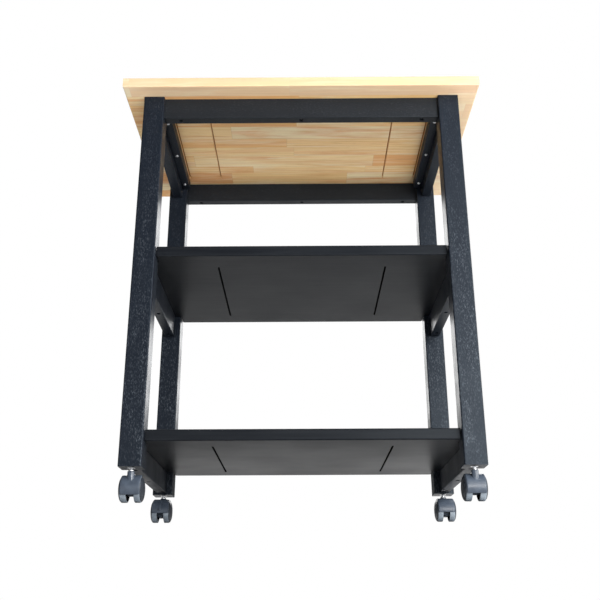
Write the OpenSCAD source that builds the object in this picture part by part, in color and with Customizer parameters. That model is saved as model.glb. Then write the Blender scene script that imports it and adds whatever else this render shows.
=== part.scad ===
// Butcher block table: a solid wood top on a black four-post frame with two
// shelves, standing on four twin-wheel swivel casters.
// Origin: on the floor, under the middle of the top. +X right, +Y rear, +Z up.

/* [Top] */
// Width of the butcher block top
top_w = 762; // [700:1:900]
// Depth of the top
top_d = 500; // [480:1:620]
// Thickness of the top
top_t = 22; // [20:0.5:40]
// Overhang of the top past the posts at each side
overhang_side = 40; // [20:0.5:60]
// Overhang of the top past the posts at front and rear
overhang_end = 37.5; // [20:0.5:60]

/* [Frame] */
// Side of the square posts
post_s = 44; // [42:0.5:60]
// Height of the posts
post_h = 800; // [700:1:900]
// Thickness of the aprons, rails and shelves
board_t = 22; // [20:0.5:24]
// Height of the front and rear aprons
end_apron_h = 49; // [46:0.5:60]
// Height of the side aprons and the lower shelf's rails
rail_h = 46; // [44:0.5:49]
// Height of the upper shelf's rails
upper_rail_h = 53; // [46:0.5:60]
// How far aprons and rails sit back from the outer faces of the posts
setback = 9.5; // [6:0.5:11]
// Width of the cleats under the top
cleat_w = 20; // [18:0.5:24]

/* [Shelves] */
// Underside of the lower shelf above the post bottoms
lower_shelf_z = 49.5; // [48:0.5:90]
// Underside of the upper shelf above the post bottoms
upper_shelf_z = 427.5; // [380:0.5:470]
// How far the shelf fronts sit back from the front of the posts
shelf_setback = 14.5; // [5:0.5:20]

/* [Casters] */
// Height of the post bottoms above the floor
caster_h = 61; // [60:0.5:70]
// Diameter of the caster wheels
wheel_d = 48; // [46:0.5:50]
// Distance from the swivel axis back to the wheel axle
trail = 17; // [15:0.5:18]
// Thread diameter of the caster stems
stem_d = 8; // [7:0.5:9]

/* [Hidden] */
$fn = 48;
far = 0.01;
fit = 0.05;
screw_gap = 0.2;

post_x = top_w / 2 - overhang_side;
post_y = top_d / 2 - overhang_end;
post_cx = post_x - post_s / 2;
post_cy = post_y - post_s / 2;
top_z = caster_h + post_h;
span_x = 2 * (post_x - post_s);
span_y = 2 * (post_y - post_s);
side_cx = post_x - setback - board_t / 2;
end_cy = post_y - setback - board_t / 2;
side_inner = side_cx - board_t / 2;
cleat_cx = side_inner - cleat_w / 2;

post_ease = 2.5;
board_ease = 1.5;
shelf_ease = 2.5;
top_ease = 2;

kerf_deep = 6;
kerf_len = 300;
top_kerf_w = 3;
top_kerf_x = 207.5;
top_edge_kerf_w = 4;
top_edge_kerf_x = side_inner - cleat_w - top_edge_kerf_w / 2 - 0.5;
shelf_kerf_w = 4;
shelf_kerf_x = 175;
shelf_kerf_y = 12;

screw_d = 4;
head_d = 8;
head_h = 2.6;
recess_d = 9.4;
recess_deep = 7;
screw_bite = 15;
apron_screw_x = [-262, 0, 262];
rail_screw_y = [-144, 0, 144];
cleat_screw_y = [-141, 0, 141];

toe_angle = 35;
toe_from_end = 13;
toe_drop = 33;
toe_len = 44;
toe_sink = 3;

dowel_d = 8;
dowel_in_post = 14;
dowel_in_rail = 18;
end_dowel_drop = [12, 37];
side_dowel_drop = [12, 40];
rail_dowel_up = [12, 34];

insert_d = 12;
insert_len = 22;
insert_flange_d = 15;
insert_flange_t = 1.2;

boss_d = 13.6;
boss_top = 54.8;
stem_low = 36;
axle_z = wheel_d / 2;
axle_d = 5;
axle_len = 40;
hub_r = 13;
hub_w = 13;
web_w = 12;
web_in = 9;
wheel_in = 7.25;
wheel_out = 23.25;
tread_out = 14;
dome_steps = 9;
hood_half = 18.5;
hood_gap = 0.8;
hood_t = 1.8;
hood_start = 78;
hood_end = 297;
ring_r = 5.4;
ring_t = 1.2;
ring_z = 42;

black = "#23262b";
maple = "burlywood";
zinc = "silver";
dark_steel = "#3a3a3c";

corners = [[-1, -1], [1, -1], [-1, 1], [1, 1]];

// A rectangle with its four corners rounded to radius r
module eased_rect(w, h, r) {
  square([w - 2 * r, h], center = true);
  square([w, h - 2 * r], center = true);
  for (sx = [-1, 1], sy = [-1, 1])
    translate([sx * (w / 2 - r), sy * (h / 2 - r)]) circle(r);
}

// Centred boards with eased long edges, running along X, Y or Z
module bar_x(len, wy, hz, r) {
  rotate([90, 0, 90]) linear_extrude(len, center = true) eased_rect(wy, hz, r);
}

module bar_y(wx, len, hz, r) {
  rotate([90, 0, 0]) linear_extrude(len, center = true) eased_rect(wx, hz, r);
}

module bar_z(wx, wy, len, r) {
  linear_extrude(len, center = true) eased_rect(wx, wy, r);
}

// A panel eased on every edge
module eased_panel(wx, wy, hz, r) {
  intersection() {
    bar_x(wx, wy, hz, r);
    bar_y(wx, wy, hz, r);
  }
}

// Stopped saw cut running front to back in an underside at height z
module kerf(x, y, z, w) {
  translate([x - w / 2, y - kerf_len / 2, z - far]) cube([w, kerf_len, kerf_deep + far]);
}

// Holes and pieces for one wood screw driven up (+Z) from a face at z = 0
module screw_hole(len) {
  translate([0, 0, -far]) cylinder(d = screw_d + 2 * screw_gap, h = len + far);
}

module screw_recess() {
  translate([0, 0, -far]) cylinder(d = recess_d, h = recess_deep + far);
}

module pilot(len) {
  cylinder(d = screw_d + 2 * fit, h = len + 1);
}

module pan_screw(len) {
  cylinder(d = screw_d, h = len);
  difference() {
    translate([0, 0, -head_h]) cylinder(d1 = head_d - 2.4, d2 = head_d, h = head_h);
    translate([0, 0, -head_h - far]) cylinder(d = 3.4, h = 1.5, $fn = 4);
  }
}

// Where each corner's toe screw enters, aimed at the post it pulls against
module at_toe(sx, sy) {
  translate([sx * side_inner, sy * (span_y / 2 - toe_from_end), top_z - toe_drop])
    rotate([0, 0, -toe_angle * sx * sy])
      rotate([-90 * sy, 0, 0]) children();
}

// Dowels along X at the ends of the front and rear aprons, each seen from its post
module at_end_dowels(sx, sy) {
  for (drop = end_dowel_drop)
    translate([sx * span_x / 2, sy * end_cy, top_z - drop]) rotate([0, 90 * sx, 0]) children();
}

// Dowels along Y at the ends of a side board whose dowels lie at heights zs
module at_side_dowels(sx, sy, zs) {
  for (z = zs)
    translate([sx * side_cx, sy * span_y / 2, z]) rotate([-90 * sy, 0, 0]) children();
}

side_dowel_z = [for (drop = side_dowel_drop) top_z - drop];
upper_dowel_z = [for (up = rail_dowel_up) caster_h + upper_shelf_z - upper_rail_h + up];
lower_dowel_z = [for (up = rail_dowel_up) caster_h + lower_shelf_z - rail_h + up];

module dowel() {
  translate([0, 0, -dowel_in_rail]) cylinder(d = dowel_d, h = dowel_in_rail + dowel_in_post);
}

module dowel_hole(deep) {
  translate([0, 0, -far]) cylinder(d = dowel_d + 2 * fit, h = deep + 0.5 + far);
}

module dowel_hole_back(deep) {
  mirror([0, 0, 1]) dowel_hole(deep);
}

module butcher_block_top() {
  color(maple) difference() {
    translate([0, 0, top_z + top_t / 2]) eased_panel(top_w, top_d, top_t, top_ease);
    for (s = [-1, 1]) {
      kerf(s * top_kerf_x, 0, top_z, top_kerf_w);
      kerf(s * top_edge_kerf_x, 0, top_z, top_edge_kerf_w);
      for (x = apron_screw_x) translate([x, s * end_cy, top_z - far]) pilot(screw_bite);
      for (y = cleat_screw_y) translate([s * cleat_cx, y, top_z - far]) pilot(screw_bite);
    }
  }
}

module post(sx, sy) {
  color(black) difference() {
    translate([sx * post_cx, sy * post_cy, caster_h + post_h / 2])
      bar_z(post_s, post_s, post_h, post_ease);
    at_end_dowels(sx, sy) dowel_hole(dowel_in_post);
    at_side_dowels(sx, sy, side_dowel_z) dowel_hole(dowel_in_post);
    at_side_dowels(sx, sy, upper_dowel_z) dowel_hole(dowel_in_post);
    at_side_dowels(sx, sy, lower_dowel_z) dowel_hole(dowel_in_post);
    at_toe(sx, sy) cylinder(d = screw_d + 2 * fit, h = toe_len + toe_sink + 1);
    translate([sx * post_cx, sy * post_cy, caster_h - far]) {
      cylinder(d = insert_d + 2 * fit, h = insert_len + 1);
      cylinder(d = insert_flange_d + 2 * fit, h = insert_flange_t + far);
    }
  }
}

module end_apron(sy) {
  color(black) difference() {
    translate([0, sy * end_cy, top_z - end_apron_h / 2])
      bar_x(span_x, board_t, end_apron_h, board_ease);
    for (sx = [-1, 1]) at_end_dowels(sx, sy) dowel_hole_back(dowel_in_rail);
    for (x = apron_screw_x) translate([x, sy * end_cy, top_z - end_apron_h]) {
      screw_hole(end_apron_h + 1);
      screw_recess();
    }
  }
}

module side_apron(sx) {
  color(black) difference() {
    translate([sx * side_cx, 0, top_z - rail_h / 2]) bar_y(board_t, span_y, rail_h, board_ease);
    for (sy = [-1, 1]) {
      at_side_dowels(sx, sy, side_dowel_z) dowel_hole_back(dowel_in_rail);
      at_toe(sx, sy) {
        cylinder(d = screw_d + 2 * screw_gap, h = toe_len);
        translate([0, 0, -10]) cylinder(d = recess_d, h = 10 + toe_sink);
      }
    }
  }
}

module top_cleat(sx) {
  color(black) difference() {
    translate([sx * cleat_cx, 0, top_z - board_t / 2])
      bar_y(cleat_w, span_y, board_t, board_ease);
    for (y = cleat_screw_y) translate([sx * cleat_cx, y, top_z - board_t]) screw_hole(board_t + 1);
  }
}

// A rail of height h under a shelf whose underside is at height z
module shelf_rail(sx, z, h, dowel_z) {
  color(black) difference() {
    translate([sx * side_cx, 0, z - h / 2]) bar_y(board_t, span_y, h, board_ease);
    for (sy = [-1, 1]) at_side_dowels(sx, sy, dowel_z) dowel_hole_back(dowel_in_rail);
    for (y = rail_screw_y) translate([sx * side_cx, y, z - h]) {
      screw_hole(h + 1);
      screw_recess();
    }
  }
}

shelf_front = -post_y + shelf_setback;
shelf_d = post_y - shelf_front;
shelf_w = 2 * (side_cx + board_t / 2);
notch_gap = 1;
corner_cut = 6;

module shelf(z) {
  color(black) difference() {
    translate([0, shelf_front + shelf_d / 2, z + board_t / 2])
      eased_panel(shelf_w, shelf_d, board_t, shelf_ease);
    for (sx = [-1, 1], sy = [-1, 1])
      translate([sx * (span_x / 2 + shelf_w / 2 - notch_gap),
                 sy * (span_y / 2 + shelf_d / 2 - notch_gap), z + board_t / 2])
        cube([shelf_w, shelf_d, board_t + 2], center = true);
    for (s = [-1, 1]) translate([s * (span_x / 2 - notch_gap), post_y, z + board_t / 2])
      rotate([0, 0, 45]) cube([corner_cut, corner_cut, board_t + 2], center = true);
    for (s = [-1, 1]) {
      kerf(s * shelf_kerf_x, shelf_kerf_y, z, shelf_kerf_w);
      for (y = rail_screw_y) translate([s * side_cx, y, z - far]) pilot(screw_bite);
    }
  }
}

module apron_screws() {
  color(zinc) for (sy = [-1, 1], x = apron_screw_x)
    translate([x, sy * end_cy, top_z - end_apron_h + recess_deep])
      pan_screw(end_apron_h - recess_deep + screw_bite);
}

module cleat_screws() {
  color(zinc) for (sx = [-1, 1], y = cleat_screw_y)
    translate([sx * cleat_cx, y, top_z - board_t]) pan_screw(board_t + screw_bite);
}

module toe_screws() {
  color(dark_steel) for (c = corners) at_toe(c[0], c[1])
    translate([0, 0, toe_sink]) pan_screw(toe_len);
}

// Screws through rails of height h into a shelf whose underside is at height z
module shelf_screws(z, h) {
  color(zinc) for (sx = [-1, 1], y = rail_screw_y)
    translate([sx * side_cx, y, z - h + recess_deep])
      pan_screw(h - recess_deep + screw_bite);
}

module apron_dowels() {
  color(maple) for (c = corners) {
    at_end_dowels(c[0], c[1]) dowel();
    at_side_dowels(c[0], c[1], side_dowel_z) dowel();
  }
}

module rail_dowels(dowel_z) {
  color(maple) for (c = corners) at_side_dowels(c[0], c[1], dowel_z) dowel();
}

module caster_inserts() {
  color(zinc) for (c = corners) translate([c[0] * post_cx, c[1] * post_cy, caster_h])
    difference() {
      union() {
        cylinder(d = insert_d, h = insert_len);
        cylinder(d = insert_flange_d, h = insert_flange_t);
      }
      translate([0, 0, -far]) cylinder(d = stem_d + 2 * fit, h = insert_len + 1);
    }
}

// A caster's own frame: swivel axis on Z, wheels trailing towards +Y.
// Front casters trail to the rear and rear casters to the front.
module at_caster(c) {
  translate([c[0] * post_cx, c[1] * post_cy, 0]) rotate([0, 0, c[1] > 0 ? 180 : 0]) children();
}

module at_axle() {
  translate([0, trail, axle_z]) rotate([0, 90, 0]) children();
}

// Outer radius of the wheel at distance x from the middle of the caster
function dome_r(x) =
  x <= tread_out ? wheel_d / 2
  : wheel_d / 2 * sqrt(max(0, 1 - pow((x - tread_out) / (wheel_out + 0.2 - tread_out), 4)));

function dome_x(i) = tread_out + (wheel_out - tread_out) * sin(90 * i / dome_steps);

module stem(c) {
  color(zinc) at_caster(c) {
    translate([0, 0, stem_low]) cylinder(d = stem_d, h = caster_h + insert_len - 2 - stem_low);
    translate([0, 0, ring_z]) cylinder(r = ring_r, h = ring_t);
    translate([0, 0, boss_top + 0.3]) cylinder(d = stem_d + 3, h = 1.5);
  }
}

// Band of the hood over the wheel treads, as a profile of radius against width
module hood_profile() {
  xs = [-hood_half, -16.5, -tread_out, tread_out, 16.5, hood_half];
  polygon(concat(
    [for (x = xs) [dome_r(abs(x)) + hood_gap + hood_t, x]],
    [for (i = [len(xs) - 1:-1:0]) [dome_r(abs(xs[i])) + hood_gap, xs[i]]]
  ));
}

module hood(c) {
  sweep = hood_end - hood_start;
  color(black) at_caster(c) difference() {
    union() {
      at_axle() {
        rotate([0, 0, hood_start]) rotate_extrude(angle = sweep) hood_profile();
        cylinder(r = hub_r, h = hub_w, center = true);
        rotate([0, 0, hood_start + 2]) rotate_extrude(angle = sweep - 4)
          translate([web_in, -web_w / 2]) square([wheel_d / 2 + hood_gap + 0.6 - web_in, web_w]);
      }
      translate([0, 0, stem_low - 4]) cylinder(d = boss_d, h = boss_top - stem_low + 4);
    }
    at_axle() cylinder(d = axle_d + 2 * fit, h = hub_w + 2, center = true);
    translate([0, 0, stem_low - 1]) cylinder(d = stem_d + 2 * fit, h = boss_top);
    translate([0, 0, ring_z - 0.3]) cylinder(r = ring_r + 0.3, h = ring_t + 0.6);
  }
}

module axle(c) {
  color(zinc) at_caster(c) at_axle() cylinder(d = axle_d, h = axle_len, center = true);
}

// One wheel on side s of the caster: a domed shell with a hub, open towards the web
module wheel(c, s) {
  rim_t = 3;
  outer = [for (i = [1:dome_steps - 1]) [dome_r(dome_x(i)), dome_x(i)]];
  color(black) at_caster(c) translate([0, trail, axle_z]) rotate([0, 90 * s, 0]) difference() {
    rotate_extrude($fn = 72) polygon(concat(
      [[0, wheel_in], [wheel_d / 2 - 0.8, wheel_in], [wheel_d / 2, wheel_in + 0.8], [wheel_d / 2, tread_out]],
      outer,
      [[dome_r(wheel_out), wheel_out], [0, wheel_out]]
    ));
    rotate_extrude($fn = 72) polygon([
      [6, wheel_in - 1], [wheel_d / 2 - rim_t, wheel_in - 1],
      [wheel_d / 2 - rim_t, tread_out], [wheel_d / 2 - 6, tread_out + 4], [6, tread_out + 5]
    ]);
    translate([0, 0, wheel_in - 1]) cylinder(d = axle_d + 2 * fit, h = axle_len / 2 - wheel_in + 1.3);
  }
}

upper_z = caster_h + upper_shelf_z;
lower_z = caster_h + lower_shelf_z;

butcher_block_top();
post(-1, -1);  // post_front_left
post(1, -1);  // post_front_right
post(-1, 1);  // post_rear_left
post(1, 1);  // post_rear_right
end_apron(-1);  // apron_front
end_apron(1);  // apron_rear
side_apron(-1);  // apron_left
side_apron(1);  // apron_right
top_cleat(-1);  // top_cleat_left
top_cleat(1);  // top_cleat_right
shelf_rail(-1, upper_z, upper_rail_h, upper_dowel_z);  // rail_upper_left
shelf_rail(1, upper_z, upper_rail_h, upper_dowel_z);  // rail_upper_right
shelf_rail(-1, lower_z, rail_h, lower_dowel_z);  // rail_lower_left
shelf_rail(1, lower_z, rail_h, lower_dowel_z);  // rail_lower_right
shelf(upper_z);  // shelf_upper
shelf(lower_z);  // shelf_lower
apron_screws();
cleat_screws();
toe_screws();
shelf_screws(upper_z, upper_rail_h);  // shelf_screws_upper
shelf_screws(lower_z, rail_h);  // shelf_screws_lower
apron_dowels();
rail_dowels(upper_dowel_z);  // rail_dowels_upper
rail_dowels(lower_dowel_z);  // rail_dowels_lower
caster_inserts();
stem(corners[0]);  // stem_front_left
stem(corners[1]);  // stem_front_right
stem(corners[2]);  // stem_rear_left
stem(corners[3]);  // stem_rear_right
hood(corners[0]);  // hood_front_left
hood(corners[1]);  // hood_front_right
hood(corners[2]);  // hood_rear_left
hood(corners[3]);  // hood_rear_right
axle(corners[0]);  // axle_front_left
axle(corners[1]);  // axle_front_right
axle(corners[2]);  // axle_rear_left
axle(corners[3]);  // axle_rear_right
wheel(corners[0], -1);  // wheel_a_front_left
wheel(corners[1], -1);  // wheel_a_front_right
wheel(corners[2], -1);  // wheel_a_rear_left
wheel(corners[3], -1);  // wheel_a_rear_right
wheel(corners[0], 1);  // wheel_b_front_left
wheel(corners[1], 1);  // wheel_b_front_right
wheel(corners[2], 1);  // wheel_b_rear_left
wheel(corners[3], 1);  // wheel_b_rear_right
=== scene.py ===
"""Butcher block table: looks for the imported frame. Metres; +X right, +Y rear, +Z up."""
import math

import bmesh
import bpy
from mathutils import Matrix, Vector


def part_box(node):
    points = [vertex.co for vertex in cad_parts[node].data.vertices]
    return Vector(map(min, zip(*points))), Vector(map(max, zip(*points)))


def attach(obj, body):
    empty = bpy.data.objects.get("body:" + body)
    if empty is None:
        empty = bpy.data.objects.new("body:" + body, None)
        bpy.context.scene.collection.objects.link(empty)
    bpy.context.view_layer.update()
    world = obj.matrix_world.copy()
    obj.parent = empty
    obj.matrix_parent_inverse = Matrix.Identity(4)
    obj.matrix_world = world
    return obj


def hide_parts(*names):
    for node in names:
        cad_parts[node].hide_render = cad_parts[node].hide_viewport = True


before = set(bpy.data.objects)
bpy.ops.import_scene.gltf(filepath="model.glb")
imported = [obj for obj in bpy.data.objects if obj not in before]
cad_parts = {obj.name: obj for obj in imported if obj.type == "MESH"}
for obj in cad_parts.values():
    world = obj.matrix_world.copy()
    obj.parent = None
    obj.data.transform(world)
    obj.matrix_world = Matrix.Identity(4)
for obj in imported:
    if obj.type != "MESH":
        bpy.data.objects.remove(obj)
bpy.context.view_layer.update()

MM = 0.001
CORNERS = ("front_left", "front_right", "rear_left", "rear_right")
FRAME_BODY = "frame"


# ---------------------------------------------------------------- shader graphs

class Graph:
    """A material and short ways to add nodes to it."""

    def __init__(self, name):
        self.material = bpy.data.materials.new(name)
        self.material.use_nodes = True
        self.tree = self.material.node_tree
        self.surface = self.tree.nodes["Principled BSDF"]

    def put(self, socket, value):
        """Feeds an input from another node's socket, or sets its value."""
        if isinstance(value, bpy.types.NodeSocket):
            self.tree.links.new(value, socket)
        else:
            socket.default_value = value

    def node(self, kind, inputs=None, output=0, **settings):
        """Adds a shader node with its inputs and settings, and gives back one of its outputs."""
        node = self.tree.nodes.new("ShaderNode" + kind)
        for key, value in settings.items():
            setattr(node, key, value)
        for key, value in (inputs or {}).items():
            self.put(node.inputs[key], value)
        return node.outputs[output]

    def math(self, operation, a, b=0.0, c=0.0):
        return self.node("Math", {0: a, 1: b, 2: c}, operation=operation)

    def place(self):
        """The point in the row frame, as three sockets."""
        point = self.node("TexCoord", output="Object")
        node = self.tree.nodes.new("ShaderNodeSeparateXYZ")
        self.tree.links.new(point, node.inputs[0])
        return list(node.outputs)

    def vector(self, x, y, z):
        return self.node("CombineXYZ", {0: x, 1: y, 2: z})

    def stretched(self, place, scales, shift=0.0):
        """A vector of the place times one scale for each axis, moved by shift."""
        parts = [self.math("MULTIPLY_ADD", p, s, shift) for p, s in zip(place, scales)]
        return self.vector(*parts)

    def noise(self, vector, detail=4.0, roughness=0.55, distortion=0.0):
        inputs = {"Vector": vector, "Scale": 1.0, "Detail": detail,
                  "Roughness": roughness, "Distortion": distortion}
        return self.node("TexNoise", inputs)

    def ramp(self, factor, stops):
        node = self.tree.nodes.new("ShaderNodeValToRGB")
        self.tree.links.new(factor, node.inputs[0])
        points = node.color_ramp.elements
        while len(points) < len(stops):
            points.new(0.5)
        for point, (at, colour) in zip(points, stops):
            point.position = at
            point.color = (*colour, 1)
        return node.outputs[0]

    def remap(self, value, low, high, to_low=0.0, to_high=1.0):
        inputs = {0: value, 1: low, 2: high, 3: to_low, 4: to_high}
        return self.node("MapRange", inputs, clamp=True)

    def mix(self, factor, a, b, blend="MIX"):
        node = self.tree.nodes.new("ShaderNodeMix")
        node.data_type = "RGBA"
        node.blend_type = blend
        colours = [s for s in node.inputs if s.type == "RGBA"]
        self.put(node.inputs[0], factor)
        for socket, value in zip(colours, (a, b)):
            self.put(socket, (*value, 1) if isinstance(value, tuple) else value)
        return next(s for s in node.outputs if s.type == "RGBA")

    def bump(self, height, strength, distance):
        self.put(self.surface.inputs["Normal"],
                 self.node("Bump", {"Height": height, "Strength": strength, "Distance": distance}))

    def finish(self, **inputs):
        """Sets the surface's inputs, each named in lower case with underscores."""
        for key, value in inputs.items():
            self.put(self.surface.inputs[key.replace("_", " ").title().replace("Ior", "IOR")], value)
        return self.material


# ---------------------------------------------------------------- materials

# Lengths are in metres. A seam or butt joint is a share of a stave's width or a block's length.
# The scales are turns of the noise in a metre along X, Y and Z. Tones are linear colours.
STAVE_WIDTH = 0.043
BLOCK_LENGTH = 0.40
SEAM_SHARE = 0.012
BUTT_SHARE = 0.0018
KERF_REACH_Y = 0.17
TOP_KERF_REACH_X = 0.30
SHELF_KERF_REACH_X = 0.20
POST_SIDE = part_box("post_front_right")[1][0]
POST_FRONT = -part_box("post_front_right")[0][1]
FIGURE_SCALES = (2.6, 27.0, 27.0)
PALE_SCALES = (3.4, 34.0, 34.0)
STREAK_SCALES = (6.0, 230.0, 230.0)
PORE_SCALES = (32.0, 1100.0, 1100.0)
BLOCK_TONES = (
    (0.00, (0.86, 0.70, 0.43)),
    (0.30, (0.87, 0.62, 0.31)),
    (0.60, (0.86, 0.56, 0.25)),
    (0.82, (0.83, 0.48, 0.19)),
    (1.00, (0.76, 0.37, 0.14)),
)
FIGURE_TONE = (0.77, 0.40, 0.18)
PALE_TONE = (0.90, 0.77, 0.53)
PORE_TONE = (0.22, 0.12, 0.05)
GLUE_TONE = (0.20, 0.11, 0.05)
# Painted highlight: a greyer, less saturated wood tone on the faces towards the front and rear, where
# strong light washes the colour out.
EDGE_HIGHLIGHT_TONE = (0.52, 0.42, 0.28)
# Painted highlight: a paler tone on the underside's overhang at the front and on the right, where light
# falls.
RIM_HIGHLIGHT_TONE = (0.80, 0.71, 0.54)
# Saw cuts in the top: painted light on their walls and painted shade on their roofs.
KERF_WALL_LIT_TONE = (0.96, 0.66, 0.34)
KERF_ROOF_SHADE_TONE = (0.42, 0.17, 0.06)
END_TONES = ((0.40, 0.28, 0.15), (0.56, 0.42, 0.25))
# Pale specks in the black paint: open grain, with painted highlights on its ridges.
PORE_AND_GLINT_TONE = (0.11, 0.125, 0.145)
PANEL_TONES = ((0.0068, 0.0078, 0.0100), (0.012, 0.0135, 0.0160))
# Painted shade: near black inside the shelves' saw cuts.
KERF_SHADE_BLACK = (0.002, 0.002, 0.002)
HOOD_TONES = ((0.042, 0.053, 0.072), (0.064, 0.081, 0.108))
STREAK_TINTS = (
    (0.36, (0.88, 0.77, 0.64)),
    (0.50, (1.00, 1.00, 1.00)),
    (0.62, (1.05, 1.05, 1.05)),
)


def facing(g, normal, axis):
    """How squarely the surface faces along an axis, either way."""
    along = g.node("VectorMath", {0: normal, 1: axis}, "Value", operation="DOT_PRODUCT")
    return g.math("ABSOLUTE", along)


def saw_cut(g, place, normal, node, reach_x):
    """1 inside the stopped saw cuts in a board's underside, 0 elsewhere."""
    x, y, z = place
    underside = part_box(node)[0][2]
    near_x = g.remap(g.math("ABSOLUTE", x), reach_x, reach_x + MM, 1.0, 0.0)
    near_y = g.remap(g.math("ABSOLUTE", y), KERF_REACH_Y, KERF_REACH_Y + MM, 1.0, 0.0)
    above = g.remap(z, underside + 0.2 * MM, underside + 0.5 * MM)
    up = g.node("VectorMath", {0: normal, 1: (0, 0, 1)}, "Value", operation="DOT_PRODUCT")
    within = g.math("MULTIPLY", g.math("MULTIPLY", near_x, near_y), above)
    return g.math("MULTIPLY", within, g.remap(up, 0.4, 0.6, 1.0, 0.0))


def blocks(g, x, y):
    """Counts across the staves and along their blocks, and a random number for each block."""
    wander = g.math("MULTIPLY", g.math("SINE", g.math("MULTIPLY", y, 61.0)), 0.0065)
    across = g.math("DIVIDE", g.math("ADD", y, wander), STAVE_WIDTH)
    stave = g.math("FLOOR", across)
    stave_luck = g.node("TexWhiteNoise", {"W": stave}, "Value", noise_dimensions="1D")
    pace = g.remap(stave_luck, 0.0, 1.0, 0.8, 1.5)
    along = g.math("MULTIPLY_ADD", g.math("DIVIDE", x, BLOCK_LENGTH), pace,
                   g.math("MULTIPLY", stave_luck, 31.0))
    block = g.math("FLOOR", along)
    luck = g.node("TexWhiteNoise", {"Vector": g.vector(stave, block, 3.0)}, "Value")
    return across, along, luck


def face_grain(g, place, luck):
    """The tone of a block's long faces, with its figure and its streaks."""
    shift = g.math("MULTIPLY", luck, 57.0)
    pale_shift = g.math("ADD", shift, 9.0)
    figure = g.noise(g.stretched(place, FIGURE_SCALES, shift), 5.0, 0.6, 1.1)
    pale = g.noise(g.stretched(place, PALE_SCALES, pale_shift), 4.0, 0.6, 0.8)
    streaks = g.noise(g.stretched(place, STREAK_SCALES, shift), 6.0, 0.65, 0.4)
    pores = g.noise(g.stretched(place, PORE_SCALES, shift), 2.0)
    tone = g.ramp(luck, BLOCK_TONES)
    tone = g.mix(g.remap(figure, 0.47, 0.66, 0.0, 0.85), tone, FIGURE_TONE)
    tone = g.mix(g.remap(pale, 0.50, 0.68, 0.0, 0.6), tone, PALE_TONE)
    tone = g.mix(1.0, tone, g.ramp(streaks, STREAK_TINTS), "MULTIPLY")
    tone = g.mix(g.remap(pores, 0.66, 0.74, 0.0, 0.45), tone, PORE_TONE)
    return tone, figure, streaks


def end_grain(g, y, z, luck, figure):
    """Arcs of growth rings on the ends of the staves."""
    heart = g.math("ADD", z, g.math("MULTIPLY_ADD", luck, 0.05, -0.06))
    from_heart = g.vector(0.0, g.math("PINGPONG", y, STAVE_WIDTH), heart)
    reach = g.node("VectorMath", {0: from_heart}, "Value", operation="LENGTH")
    rings = g.math("SINE", g.math("MULTIPLY_ADD", reach, 2600.0, g.math("MULTIPLY", figure, 9.0)))
    return g.mix(g.remap(rings, -1.0, 1.0, 0.25, 0.75), *END_TONES)


def butcher_block():
    """Staves along X of blocks glued end to end, each with its own tone and figure."""
    g = Graph("butcher_block")
    x, y, z = g.place()
    across, along, luck = blocks(g, x, y)
    tone, figure, streaks = face_grain(g, (x, y, z), luck)
    seam = g.remap(g.math("PINGPONG", across, 0.5), 0.0, SEAM_SHARE, 1.0, 0.0)
    butt = g.remap(g.math("PINGPONG", along, 0.5), 0.0, BUTT_SHARE, 1.0, 0.0)
    joint = g.math("MAXIMUM", seam, butt)
    tone = g.mix(g.math("MULTIPLY", joint, 0.25), tone, GLUE_TONE)

    normal = g.node("NewGeometry", output="Normal")
    edge = facing(g, normal, (0, 1, 0))
    # Painted highlight: the faces towards the front and rear are mixed towards a greyer, less saturated
    # tone.
    tone = g.mix(g.remap(edge, 0.6, 0.9, 0.0, 0.72), tone, EDGE_HIGHLIGHT_TONE)
    end = facing(g, normal, (1, 0, 0))
    tone = g.mix(g.remap(end, 0.6, 0.9), tone, end_grain(g, y, z, luck, figure))

    down = g.node("VectorMath", {0: normal, 1: (0, 0, -1)}, "Value", operation="DOT_PRODUCT")
    underneath = g.remap(down, 0.5, 0.9)
    front = g.remap(y, -POST_FRONT - MM, -POST_FRONT, 1.0, 0.0)
    right = g.remap(x, POST_SIDE, POST_SIDE + MM)
    # Painted highlight: the underside's overhang in front of the front posts and right of the right posts
    # goes half-way to a paler tone.
    rim = g.math("MULTIPLY", g.math("MAXIMUM", front, right), underneath)
    tone = g.mix(g.math("MULTIPLY", rim, 0.5), tone, RIM_HIGHLIGHT_TONE)
    # The saw cuts get painted light on their walls and painted shade on their downward-facing roofs.
    kerf = saw_cut(g, (x, y, z), normal, "butcher_block_top", TOP_KERF_REACH_X)
    tone = g.mix(kerf, tone, g.mix(underneath, KERF_WALL_LIT_TONE, KERF_ROOF_SHADE_TONE))

    g.bump(g.math("SUBTRACT", streaks, joint), 0.12, 0.0004)
    rough = g.math("MAXIMUM", kerf, g.remap(streaks, 0.3, 0.7, 0.42, 0.56))
    return g.finish(base_color=tone, roughness=rough, specular_ior_level=0.22)


def lacquer(name, axis, openness, dark, upper=1.0):
    """Satin black paint over wood whose grain runs along axis.

    openness is how much the pale specks show near the floor, and upper the share of it under the top. The
    specks are open grain with painted highlights on its ridges.
    """
    g = Graph(name)
    place = g.place()
    fine = [620.0, 620.0, 620.0]
    fine[axis] = 210.0
    broad = [46.0, 46.0, 46.0]
    broad[axis] = 7.0
    pores = g.noise(g.stretched(place, fine), 3.0, 0.6, 0.6)
    bands = g.noise(g.stretched(place, broad), 3.0)
    speckle = g.math("MULTIPLY", g.remap(pores, 0.53, 0.66), g.remap(bands, 0.38, 0.60, 0.25, 1.0))
    open_here = g.remap(place[2], 0.15, 0.75, openness, openness * upper)
    # The pale specks are open grain with painted highlights.
    base = g.mix(g.math("MULTIPLY", speckle, open_here), dark, PORE_AND_GLINT_TONE)
    haze = g.noise(g.stretched(place, (14.0, 14.0, 14.0)), 3.0)
    g.bump(g.math("MULTIPLY_ADD", pores, 1.0, bands), 0.10 + 0.25 * openness, 0.0003)
    return g.finish(base_color=base, roughness=g.remap(haze, 0.3, 0.7, 0.32, 0.44),
                    specular_ior_level=0.13, specular_tint=(0.78, 0.90, 1.0, 1))


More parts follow.
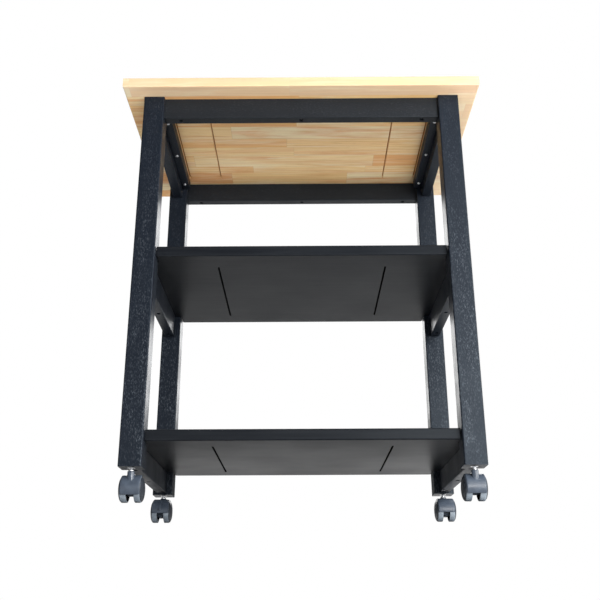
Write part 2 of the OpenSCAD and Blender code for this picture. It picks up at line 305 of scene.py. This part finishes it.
def panel_lacquer(node):
    """The same paint on a flat shelf panel, with only a trace of grain and painted shade in its saw cuts.
    """
    g = Graph(node + "_lacquer")
    place = g.place()
    trace = g.noise(g.stretched(place, (7.0, 160.0, 160.0)), 4.0, 0.6)
    cloud = g.noise(g.stretched(place, (5.0, 7.0, 7.0)), 3.0)
    base = g.mix(g.remap(trace, 0.35, 0.75), *PANEL_TONES)
    kerf = saw_cut(g, place, g.node("NewGeometry", output="Normal"), node, SHELF_KERF_REACH_X)
    g.bump(trace, 0.05, 0.0002)
    # The saw cuts are painted near black as shade.
    return g.finish(base_color=g.mix(kerf, base, KERF_SHADE_BLACK),
                    roughness=g.math("MAXIMUM", kerf, g.remap(cloud, 0.3, 0.7, 0.32, 0.40)),
                    specular_ior_level=0.072, specular_tint=(0.85, 0.94, 1.0, 1))


def zinc():
    g = Graph("zinc_plate")
    place = g.place()
    mottle = g.noise(g.stretched(place, (420.0, 420.0, 420.0)), 3.0)
    base = g.mix(mottle, (0.60, 0.61, 0.63), (0.86, 0.87, 0.88))
    g.bump(mottle, 0.06, 0.0001)
    return g.finish(base_color=base, metallic=1.0, roughness=g.remap(mottle, 0.3, 0.7, 0.22, 0.36))


def black_steel():
    g = Graph("black_oxide")
    mottle = g.noise(g.stretched(g.place(), (420.0, 420.0, 420.0)), 3.0)
    base = g.mix(mottle, (0.060, 0.061, 0.065), (0.10, 0.10, 0.105))
    return g.finish(base_color=base, metallic=1.0, roughness=g.remap(mottle, 0.3, 0.7, 0.30, 0.45))


def plastic(name, dark, light, rough, polished=None):
    """Moulded plastic with a fine texture, glossy where it lies close to an upright axis, if given."""
    g = Graph(name)
    x, y, z = g.place()
    grit = g.noise(g.stretched((x, y, z), (1500.0, 1500.0, 1500.0)), 2.0)
    cloud = g.noise(g.stretched((x, y, z), (70.0, 70.0, 70.0)), 3.0)
    base = g.mix(g.remap(cloud, 0.3, 0.7), dark, light)
    g.bump(grit, 0.12, 0.0001)
    roughness = g.remap(cloud, 0.3, 0.7, rough - 0.05, rough + 0.06)
    specular = 0.34
    if polished is not None:
        away = g.vector(g.math("SUBTRACT", x, polished[0]), g.math("SUBTRACT", y, polished[1]), 0.0)
        distance = g.node("VectorMath", {0: away}, "Value", operation="LENGTH")
        gloss = g.math("MULTIPLY", g.remap(distance, 6.9 * MM, 7.2 * MM, 1.0, 0.0),
                       g.remap(z, 36 * MM, 44 * MM))
        roughness = g.math("MULTIPLY_ADD", g.math("SUBTRACT", 0.20, roughness), gloss, roughness)
        specular = g.remap(gloss, 0.0, 1.0, 0.34, 0.6)
    return g.finish(base_color=base, roughness=roughness, specular_ior_level=specular)


def bare_dowel():
    g = Graph("bare_beech")
    place = g.place()
    flecks = g.noise(g.stretched(place, (300.0, 300.0, 300.0)), 4.0)
    base = g.mix(flecks, (0.42, 0.27, 0.14), (0.62, 0.45, 0.27))
    g.bump(flecks, 0.1, 0.0002)
    return g.finish(base_color=base, roughness=0.6)


WOOD = butcher_block()
ALONG_X = lacquer("lacquer_along_x", 0, 0.12, (0.0115, 0.0128, 0.0150))
ALONG_Y = lacquer("lacquer_along_y", 1, 0.15, (0.0080, 0.0105, 0.0155))
ALONG_Z = lacquer("lacquer_along_z", 2, 0.66, (0.0072, 0.0097, 0.0148), 0.35)
ZINC = zinc()
BLACK_STEEL = black_steel()
DISC = plastic("disc_plastic", (0.022, 0.026, 0.033), (0.036, 0.042, 0.052), 0.30)
TREAD = plastic("tread_plastic", (0.17, 0.20, 0.235), (0.27, 0.31, 0.35), 0.55)
DOWEL = bare_dowel()


def dress(node, material):
    """Gives a CAD node its material."""
    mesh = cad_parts[node].data
    mesh.materials.clear()
    mesh.materials.append(material)


dress("butcher_block_top", WOOD)
for corner in CORNERS:
    dress("post_" + corner, ALONG_Z)
for node in ("apron_front", "apron_rear"):
    dress(node, ALONG_X)
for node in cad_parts:
    if node.startswith("rail_") and "dowels" not in node:
        dress(node, ALONG_Y)
    if node in ("apron_left", "apron_right", "top_cleat_left", "top_cleat_right"):
        dress(node, ALONG_Y)
    if node.startswith("shelf_") and "screws" not in node:
        dress(node, panel_lacquer(node))
    if "dowels" in node:
        dress(node, DOWEL)
    if node.startswith(("axle_", "caster_inserts")):
        dress(node, ZINC)


# ---------------------------------------------------------------- mesh building

def corner_round(points, radius, steps=3):
    """A closed outline with every corner rounded, or with one radius for each corner."""
    count = len(points)
    radii = radius if isinstance(radius, (list, tuple)) else [radius] * count
    out = []
    for i, r in enumerate(radii):
        here, back, ahead = (Vector(points[j % count]) for j in (i, i - 1, i + 1))
        a, b = (back - here), (ahead - here)
        reach = min(r, a.length * 0.45, b.length * 0.45)
        if reach <= 0:
            out.append(here)
            continue
        p, q = here + a.normalized() * reach, here + b.normalized() * reach
        for k in range(steps + 1):
            t = k / steps
            out.append(p * (1 - t) ** 2 + here * (2 * t * (1 - t)) + q * t ** 2)
    return out


def revolve(outline, steps=48, start=0.0, sweep=360.0):
    """A closed (radius, height) outline turned about Z. A part turn gets flat ends."""
    bm = bmesh.new()
    full = sweep >= 360.0
    rings = []
    for k in range(steps if full else steps + 1):
        angle = math.radians(start + sweep * k / steps)
        across, deep = math.cos(angle), math.sin(angle)
        rings.append([bm.verts.new((r * across, r * deep, z)) for r, z in outline])
    size = len(outline)
    for k in range(steps):
        one, two = rings[k], rings[(k + 1) % len(rings)]
        for i in range(size):
            j = (i + 1) % size
            bm.faces.new((one[i], one[j], two[j], two[i]))
    if not full:
        bm.faces.new(rings[0])
        bm.faces.new(reversed(rings[-1]))
    bmesh.ops.remove_doubles(bm, verts=bm.verts, dist=1e-7)
    bmesh.ops.recalc_face_normals(bm, faces=bm.faces)
    return bm


def upright(inner, low, outer, high):
    """A rectangular outline for revolve, from an inner to an outer radius and a low to a high height."""
    return [(inner, low), (outer, low), (outer, high), (inner, high)]


def block(low, high, bevel=0.0):
    """A box between two corners with bevelled edges."""
    bm = bmesh.new()
    bmesh.ops.create_cube(bm, size=1.0)
    low, high = Vector(low), Vector(high)
    size = high - low
    for v in bm.verts:
        v.co = Vector([(v.co[i] + 0.5) * size[i] + low[i] for i in range(3)])
    if bevel:
        bmesh.ops.bevel(bm, geom=bm.edges[:], offset=bevel, segments=2, profile=0.5, affect="EDGES")
    return bm


def moved(bm, matrix):
    """The mesh being built, carried by a matrix."""
    bmesh.ops.transform(bm, matrix=matrix, verts=bm.verts)
    return bm


def loose(name, parts):
    """One object from several closed meshes, not yet in any scene body."""
    mesh = bpy.data.meshes.new(name)
    whole = bmesh.new()
    for part in parts:
        part.to_mesh(mesh)
        whole.from_mesh(mesh)
        part.free()
    whole.to_mesh(mesh)
    whole.free()
    obj = bpy.data.objects.new(name, mesh)
    bpy.context.collection.objects.link(obj)
    return obj


def moved_mesh(obj, matrix):
    """Carries an object's mesh by a matrix and leaves its origin where it was."""
    obj.data.transform(matrix)
    obj.data.update()


def settle(obj):
    """Applies an object's modifiers to its mesh."""
    bpy.context.view_layer.update()
    shaped = obj.evaluated_get(bpy.context.evaluated_depsgraph_get())
    old, obj.data = obj.data, bpy.data.meshes.new_from_object(shaped)
    obj.modifiers.clear()
    bpy.data.meshes.remove(old)


def boolean(obj, other, operation):
    """Joins other to obj, or cuts it away, and removes it."""
    change = obj.modifiers.new("boolean", "BOOLEAN")
    change.operation = operation
    change.solver = "EXACT"
    change.object = other
    settle(obj)
    bpy.data.objects.remove(other)


def soften(obj, width, segments=2, angle=35.0):
    bevel = obj.modifiers.new("bevel", "BEVEL")
    bevel.width = width
    bevel.segments = segments
    bevel.limit_method = "ANGLE"
    bevel.angle_limit = math.radians(angle)
    settle(obj)


def smooth(mesh, angle=32.0):
    mesh.shade_smooth()
    mesh.set_sharp_from_angle(angle=math.radians(angle))


def install(obj, material, body, slot, *nodes):
    """Makes obj a piece of the part: its finish, its body and the CAD nodes it stands for."""
    obj.data.materials.clear()
    obj.data.materials.append(material)
    smooth(obj.data)
    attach(obj, body)
    if nodes:
        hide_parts(*nodes)
    return obj


# ---------------------------------------------------------------- casters

# Names in IN, OUT and HALF are distances from the middle of the caster along its axle, and angles
# are in degrees about the axle. The brake's ledge and rib are a half width, a start and a sweep.
WHEEL_R = 24 * MM
AXLE_HOLE_R = 2.55 * MM
WHEEL_IN = 7.25 * MM
WHEEL_OUT = 23.25 * MM
TREAD_OUT = 14 * MM
TYRE_OUT = 18.5 * MM
CORE_R = WHEEL_R - 2.6 * MM
HOOD_GAP = 0.8 * MM
HOOD_WALL = 1.8 * MM
HOOD_HALF = 18.5 * MM
HOOD_START = 78.0
HOOD_SWEEP = 219.0
BAND_CHAMFER = 1.3 * MM
BAND_INNER_R = WHEEL_R + HOOD_GAP
BAND_OUTER_R = BAND_INNER_R + HOOD_WALL
WEB_INNER_R = 9 * MM
WEB_HALF = 6 * MM
HUB_R = 13 * MM
HUB_HALF = 6.5 * MM
TRAIL = 17 * MM
BOSS_LOW = 32 * MM
BOSS_TOP = 54.8 * MM
BOSS_R = 6.8 * MM
STEM_R = 4 * MM
BORE_R = STEM_R + 0.05 * MM
RING_Z = 42 * MM
COLLAR_Z = BOSS_TOP + 0.3 * MM
BRAKE_LEDGE = (15 * MM, 133, 16)
BRAKE_RIB = (2.2 * MM, 91, 44)
BRAKE_PROUD = 3 * MM
BRAKE_HOLE_R = 1.6 * MM
ALONG_AXLE = Matrix.Rotation(math.radians(90), 4, "Y")
TOWARDS_WHEELS = Matrix.Rotation(math.radians(-90), 4, "X")
AXLE_IN_CASTER = Matrix.Translation((0, TRAIL, WHEEL_R)) @ ALONG_AXLE


def dome(x):
    """The wheel's radius at distance x from the middle of the caster."""
    if x <= TREAD_OUT:
        return WHEEL_R
    share = (x - TREAD_OUT) / (WHEEL_OUT + 0.2 * MM - TREAD_OUT)
    return WHEEL_R * math.sqrt(max(0.0, 1 - share ** 4))


def caster_place(corner):
    """Row-frame matrix of a caster's own frame: swivel axis on Z, wheels trailing towards +Y."""
    low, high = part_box("stem_" + corner)
    turn = math.radians(180 if corner.startswith("rear") else 0)
    centre = ((low[0] + high[0]) / 2, (low[1] + high[1]) / 2, 0)
    return Matrix.Translation(centre) @ Matrix.Rotation(turn, 4, "Z")


def axle_place(corner):
    """The same for the axle, whose own axis is Z."""
    low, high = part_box("axle_" + corner)
    offset = abs((low[1] + high[1]) / 2 - caster_place(corner).translation.y)
    return caster_place(corner) @ Matrix.Translation((0, offset, WHEEL_R)) @ ALONG_AXLE


def hood_band():
    """The hood's band across both treads, with a chamfer along each side."""
    halves = [HOOD_HALF, HOOD_HALF - BAND_CHAMFER, 15.5 * MM, TREAD_OUT]
    xs = [-x for x in halves] + list(reversed(halves))
    walls = [HOOD_WALL - (BAND_CHAMFER if abs(x) == HOOD_HALF else 0) for x in xs]
    outer = [(dome(abs(x)) + HOOD_GAP + wall, x) for x, wall in zip(xs, walls)]
    inner = [(dome(abs(x)) + HOOD_GAP, x) for x in reversed(xs)]
    return revolve(outer + inner, 64, HOOD_START, HOOD_SWEEP)


def hood(corner):
    """Band over both wheels, the web and hub between them, and the boss that takes the stem."""
    obj = loose("hood_" + corner + "_shell", [hood_band()])
    web = upright(WEB_INNER_R, -WEB_HALF, BAND_INNER_R + 0.6 * MM, WEB_HALF)
    boolean(obj, loose("web", [revolve(web, 48, HOOD_START + 2, HOOD_SWEEP - 4)]), "UNION")
    hub = corner_round(upright(0, -HUB_HALF, HUB_R, HUB_HALF), [0, 0.8 * MM, 0.8 * MM, 0])
    boolean(obj, loose("hub", [revolve(hub, 48)]), "UNION")
    hole = upright(0, -HUB_HALF - MM, AXLE_HOLE_R, HUB_HALF + MM)
    boolean(obj, loose("hole", [revolve(hole, 32)]), "DIFFERENCE")
    moved_mesh(obj, AXLE_IN_CASTER)
    boss = corner_round(upright(0, BOSS_LOW, BOSS_R, BOSS_TOP), [0, 0, 0.9 * MM, 0])
    boolean(obj, loose("boss", [revolve(boss, 48)]), "UNION")
    bore = upright(0, BOSS_LOW + 3 * MM, BORE_R, BOSS_TOP + 3 * MM)
    boolean(obj, loose("bore", [revolve(bore, 32)]), "DIFFERENCE")
    if corner == "rear_left":
        brake_details(obj)
    soften(obj, 0.35 * MM)
    moved_mesh(obj, caster_place(corner))
    material = plastic("hood_plastic_" + corner, *HOOD_TONES, 0.34, caster_place(corner).translation)
    install(obj, material, "caster_" + corner, "hood_plastic", "hood_" + corner)


def brake_details(obj):
    """The ledge, the rib below it and the small hole on the wheel side of one hood."""
    for half, start, sweep in (BRAKE_LEDGE, BRAKE_RIB):
        outline = upright(BAND_OUTER_R - 0.3 * MM, -half, BAND_OUTER_R + BRAKE_PROUD, half)
        outline = corner_round(outline, 0.6 * MM)
        boolean(obj, loose("rib", [moved(revolve(outline, 14, start, sweep), AXLE_IN_CASTER)]), "UNION")
    hole_place = Matrix.Translation((4.6 * MM, TRAIL + WHEEL_R - 2 * MM, WHEEL_R + MM))
    hole = moved(revolve(upright(0, 0, BRAKE_HOLE_R, 8 * MM), 16), hole_place @ TOWARDS_WHEELS)
    boolean(obj, loose("hole", [hole]), "DIFFERENCE")


def wheel(corner, side, body):
    """A moulded wheel in two parts: a pale tread on a dark domed disc that is ribbed towards the web."""
    tread = [(CORE_R - 0.1 * MM, WHEEL_IN), (WHEEL_R - 0.8 * MM, WHEEL_IN),
             (WHEEL_R - 0.25 * MM, WHEEL_IN + 0.25 * MM), (WHEEL_R, WHEEL_IN + 0.8 * MM),
             (WHEEL_R, TREAD_OUT)]
    tread += [(dome(x), x) for x in (TREAD_OUT + 2 * MM, TREAD_OUT + 3.5 * MM, TYRE_OUT - 0.3 * MM)]
    tread += [(dome(TYRE_OUT) - 0.4 * MM, TYRE_OUT), (CORE_R - 0.1 * MM, TYRE_OUT)]
    face = [TYRE_OUT + (WHEEL_OUT - TYRE_OUT) * math.sin(math.radians(90 * k / 10)) for k in range(11)]
    outline = [(AXLE_HOLE_R, WHEEL_IN), (6 * MM, WHEEL_IN), (6 * MM, TREAD_OUT + 5 * MM),
               (WHEEL_R - 6 * MM, TREAD_OUT + 4 * MM), (CORE_R - 0.6 * MM, TREAD_OUT),
               (CORE_R - 0.6 * MM, WHEEL_IN + 0.4 * MM), (CORE_R, WHEEL_IN + 0.4 * MM),
               (CORE_R, TYRE_OUT + 0.1 * MM)]
    outline += [(dome(x) - 0.35 * MM, x + 0.1 * MM) for x in face[:-1]]
    outline += [(dome(WHEEL_OUT), WHEEL_OUT), (5.2 * MM, WHEEL_OUT), (4.9 * MM, WHEEL_OUT - 0.5 * MM),
                (0, WHEEL_OUT - 0.4 * MM), (0, WHEEL_OUT - 2.6 * MM),
                (AXLE_HOLE_R, WHEEL_OUT - 2.6 * MM)]
    parts = [revolve(outline, 72)]
    for k in range(6):
        rib = block((5.5 * MM, -0.6 * MM, WHEEL_IN + 1.5 * MM),
                    (CORE_R - 0.3 * MM, 0.6 * MM, TREAD_OUT + 4.2 * MM), 0.2 * MM)
        parts.append(moved(rib, Matrix.Rotation(math.radians(60 * k), 4, "Z")))
    flip = Matrix.Rotation(math.radians(180 if side == "a" else 0), 4, "X")
    name = "wheel_%s_%s" % (side, corner)
    for piece, shapes, material in (("_disc", parts, DISC), ("_tyre", [revolve(tread, 72)], TREAD)):
        obj = loose(name + piece, shapes)
        moved_mesh(obj, axle_place(corner) @ flip)
        install(obj, material, body, "wheel_plastic", name)


def threaded_rod(radius, depth, pitch, low, high):
    """A closed rod with a helical thread."""
    bm = bmesh.new()
    around, each = 32, 8
    rows = int((high - low) / pitch * each)
    rings = []
    for k in range(rows + 1):
        z = low + (high - low) * k / rows
        ring = []
        for i in range(around):
            turn = i / around
            phase = ((z - low) / pitch - turn) % 1.0
            r = radius - depth * (1 - min(1.0, 2.4 * abs(phase - 0.5)))
            angle = 2 * math.pi * turn
            ring.append(bm.verts.new((r * math.cos(angle), r * math.sin(angle), z)))
        rings.append(ring)
    for one, two in zip(rings, rings[1:]):
        for i in range(around):
            j = (i + 1) % around
            bm.faces.new((one[i], one[j], two[j], two[i]))
    bm.faces.new(reversed(rings[0]))
    bm.faces.new(rings[-1])
    return bm


def stem(corner):
    """Threaded stem with its collar on top of the hood's boss."""
    low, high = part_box("stem_" + corner)
    shank = upright(0, low[2], STEM_R - 0.05 * MM, BOSS_TOP + 0.5 * MM)
    ring = upright(STEM_R - 0.5 * MM, RING_Z, 5.4 * MM, RING_Z + 1.2 * MM)
    collar = upright(STEM_R - MM, COLLAR_Z, 5.5 * MM, COLLAR_Z + 1.5 * MM)
    parts = [revolve(corner_round(shank, [0, 0.4 * MM, 0, 0]), 32),
             revolve(corner_round(ring, 0.2 * MM), 32),
             revolve(corner_round(collar, 0.35 * MM), 48),
             threaded_rod(STEM_R, 0.62 * MM, 1.25 * MM, COLLAR_Z + 0.1 * MM, high[2])]
    obj = loose("stem_" + corner + "_thread", parts)
    centre = caster_place(corner).translation
    moved_mesh(obj, Matrix.Translation(centre))
    install(obj, ZINC, FRAME_BODY, "zinc", "stem_" + corner)


# ---------------------------------------------------------------- screws

SCREW_HEAD_R = 4.0 * MM
SCREW_HEAD_H = 2.6 * MM
CROSS_ARM = 2.3 * MM
CROSS_HALF = 0.55 * MM
CROSS_DEPTH = 1.3 * MM
TOE_ANGLE = math.radians(35)
TOE_FROM_END = 13 * MM
TOE_DROP = 33 * MM
TOE_SINK = 3 * MM
TOE_LENGTH = 44 * MM
HEAD_TURNS = (12, 57, 31, 80, 5, 66)


def screw_mesh(length):
    """A pan-head wood screw along +Z: its head, below z = 0 with a cross recess, and its thread."""
    h, r = SCREW_HEAD_H, SCREW_HEAD_R
    outline = [(0, -h), (1.9 * MM, -h + 0.05 * MM), (3.0 * MM, -h + 0.35 * MM),
               (3.7 * MM, -h + 0.95 * MM), (r, -h + 1.7 * MM), (r, -0.15 * MM),
               (r - 0.15 * MM, 0), (1.9 * MM, 0), (1.9 * MM, 0.6 * MM), (0, 0.6 * MM)]
    obj = loose("screw", [revolve(outline, 32)])
    for across, deep in ((CROSS_ARM, CROSS_HALF), (CROSS_HALF, CROSS_ARM)):
        slot = block((-across, -deep, -h - MM), (across, deep, -h + CROSS_DEPTH))
        boolean(obj, loose("slot", [slot]), "DIFFERENCE")
    head = bmesh.new()
    head.from_mesh(obj.data)
    bpy.data.objects.remove(obj)
    shank = threaded_rod(2.0 * MM, 0.5 * MM, 1.8 * MM, 0.3 * MM, length)
    return head, shank


def screws(node, length, placings, material, slot):
    """All the screws of one CAD node as one piece."""
    head, shank = screw_mesh(length)
    parts = []
    for matrix in placings:
        for part in (head, shank):
            parts.append(moved(part.copy(), matrix))
    head.free()
    shank.free()
    install(loose(node + "_threaded", parts), material, FRAME_BODY, slot, node)


def upright_screws(node):
    """Rows of screws pointing up: two rows of three, placed by the node's own box."""
    low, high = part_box(node)
    r = SCREW_HEAD_R
    xs, ys = (low[0] + r, high[0] - r), (low[1] + r, high[1] - r)
    if node == "apron_screws":
        xs = (xs[0], 0, xs[1])
    else:
        ys = (ys[0], 0, ys[1])
    face = low[2] + SCREW_HEAD_H
    places = [(x, y) for x in xs for y in ys]
    placings = [Matrix.Translation((x, y, face)) @ Matrix.Rotation(math.radians(turn), 4, "Z")
                for (x, y), turn in zip(places, HEAD_TURNS)]
    screws(node, high[2] - face, placings, ZINC, "zinc")


def toe_screws():
    """The slanted screws near the ends of the side aprons, each aimed at its post."""
    placings = []
    apron_low, apron_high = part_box("apron_right")
    for sx in (-1, 1):
        for sy in (-1, 1):
            start = Vector((sx * apron_low[0], sy * (apron_high[1] - TOE_FROM_END),
                            apron_high[2] - TOE_DROP))
            aim = Vector((sx * math.sin(TOE_ANGLE), sy * math.cos(TOE_ANGLE), 0))
            turn = aim.to_track_quat("Z", "Y").to_matrix().to_4x4()
            placings.append(Matrix.Translation(start + aim * TOE_SINK) @ turn)
    screws("toe_screws", TOE_LENGTH, placings, BLACK_STEEL, "black_steel")


for corner in CORNERS:
    hood(corner)
    stem(corner)
    wheel(corner, "a", "caster_wheel_a_" + corner)
    wheel(corner, "b", "caster_wheel_b_" + corner)
for node in ("apron_screws", "cleat_screws", "shelf_screws_upper", "shelf_screws_lower"):
    upright_screws(node)
toe_screws()


# ---------------------------------------------------------------- floor, light, camera

FLOOR_HALF = 4.0
VEIL_NEAR, VEIL_FAR = 0.8, 3.6
VEIL_LEAST = 0.50
PART_MIDDLE = (0, 0, 0.4)


def one_sided_floor():
    """A pale floor, clear from below, where the camera is, and fading to white far from the part."""
    g = Graph("floor")
    lit = g.surface.outputs[0]
    away = g.node("VectorMath", {0: g.node("TexCoord", output="Object")}, "Value", operation="LENGTH")
    seen = g.node("LightPath", output="Is Camera Ray")
    veil = g.math("MULTIPLY", seen, g.remap(away, VEIL_NEAR, VEIL_FAR, VEIL_LEAST, 1.0))
    white = g.node("Emission", {"Color": (1, 1, 1, 1)})
    veiled = g.node("MixShader", {0: veil, 1: lit, 2: white})
    from_below = g.node("NewGeometry", output="Backfacing")
    shader = g.node("MixShader", {0: from_below, 1: veiled, 2: g.node("BsdfTransparent")})
    g.tree.links.new(shader, g.tree.nodes["Material Output"].inputs[0])
    material = g.finish(base_color=(0.80, 0.80, 0.80, 1), roughness=0.9, specular_ior_level=0.1)
    mesh = bpy.data.meshes.new("floor")
    half = FLOOR_HALF
    rim = [(-half, -half, 0), (half, -half, 0), (half, half, 0), (-half, half, 0)]
    mesh.from_pydata(rim, [], [(0, 1, 2, 3)])
    mesh.materials.append(material)
    floor = bpy.data.objects.new("floor", mesh)
    bpy.context.collection.objects.link(floor)


def softbox(name, place, target, size, power):
    light = bpy.data.lights.new(name, "AREA")
    light.shape = "RECTANGLE"
    light.size, light.size_y = size
    light.energy = power
    lamp = bpy.data.objects.new(name, light)
    lamp.location = place
    lamp.rotation_euler = (Vector(target) - Vector(place)).to_track_quat("-Z", "Y").to_euler()
    bpy.context.collection.objects.link(lamp)


def surroundings():
    """White to the camera, dim and slightly blue as a source of light."""
    world = bpy.data.worlds.new("studio")
    bpy.context.scene.world = world
    world.use_nodes = True
    tree = world.node_tree
    seen = tree.nodes["Background"]
    seen.inputs["Color"].default_value = (1, 1, 1, 1)
    seen.inputs["Strength"].default_value = 1.0
    glow = tree.nodes.new("ShaderNodeBackground")
    glow.inputs["Color"].default_value = (0.93, 0.96, 1.0, 1)
    glow.inputs["Strength"].default_value = 0.12
    ray = tree.nodes.new("ShaderNodeLightPath")
    blend = tree.nodes.new("ShaderNodeMixShader")
    tree.links.new(ray.outputs["Is Camera Ray"], blend.inputs[0])
    tree.links.new(glow.outputs[0], blend.inputs[1])
    tree.links.new(seen.outputs[0], blend.inputs[2])
    tree.links.new(blend.outputs[0], tree.nodes["World Output"].inputs[0])


def camera():
    """Looks up from in front, a little below the floor."""
    eye = Vector((0.0028, -1.7578, -0.2029))
    yaw, pitch, roll = (math.radians(a) for a in (0.249, 20.853, -0.213))
    forward = Vector((-math.sin(yaw) * math.cos(pitch), math.cos(yaw) * math.cos(pitch), math.sin(pitch)))
    level = Vector((math.cos(yaw), math.sin(yaw), 0))
    above = level.cross(forward)
    right = level * math.cos(roll) + above * math.sin(roll)
    up = above * math.cos(roll) - level * math.sin(roll)
    lens = bpy.data.cameras.new("camera")
    lens.sensor_width = 36.0
    lens.lens = 50.28
    lens.clip_start = 0.05
    body = bpy.data.objects.new("camera", lens)
    body.matrix_world = Matrix((
        (right.x, up.x, -forward.x, eye.x),
        (right.y, up.y, -forward.y, eye.y),
        (right.z, up.z, -forward.z, eye.z),
        (0, 0, 0, 1)))
    bpy.context.collection.objects.link(body)
    bpy.context.scene.camera = body


one_sided_floor()
surroundings()
softbox("low_right", (1.2, -2.5, 0.45), (0, 0, 0.7), (2.0, 0.8), 82)
softbox("low_left", (-1.2, -2.5, 0.45), (0, 0, 0.7), (2.0, 0.8), 7)
softbox("right_panel", (1.5, -2.3, 1.4), (0.2, 0, 0.4), (1.6, 1.6), 46)
softbox("right_side", (2.6, -0.6, 1.3), PART_MIDDLE, (1.6, 1.6), 62)
softbox("rear", (0.0, 2.6, 1.6), PART_MIDDLE, (2.4, 1.6), 52)
softbox("overhead", (0.3, 0.4, 3.2), PART_MIDDLE, (2.4, 2.4), 42)
camera()
bpy.context.scene.view_settings.view_transform = "Standard"
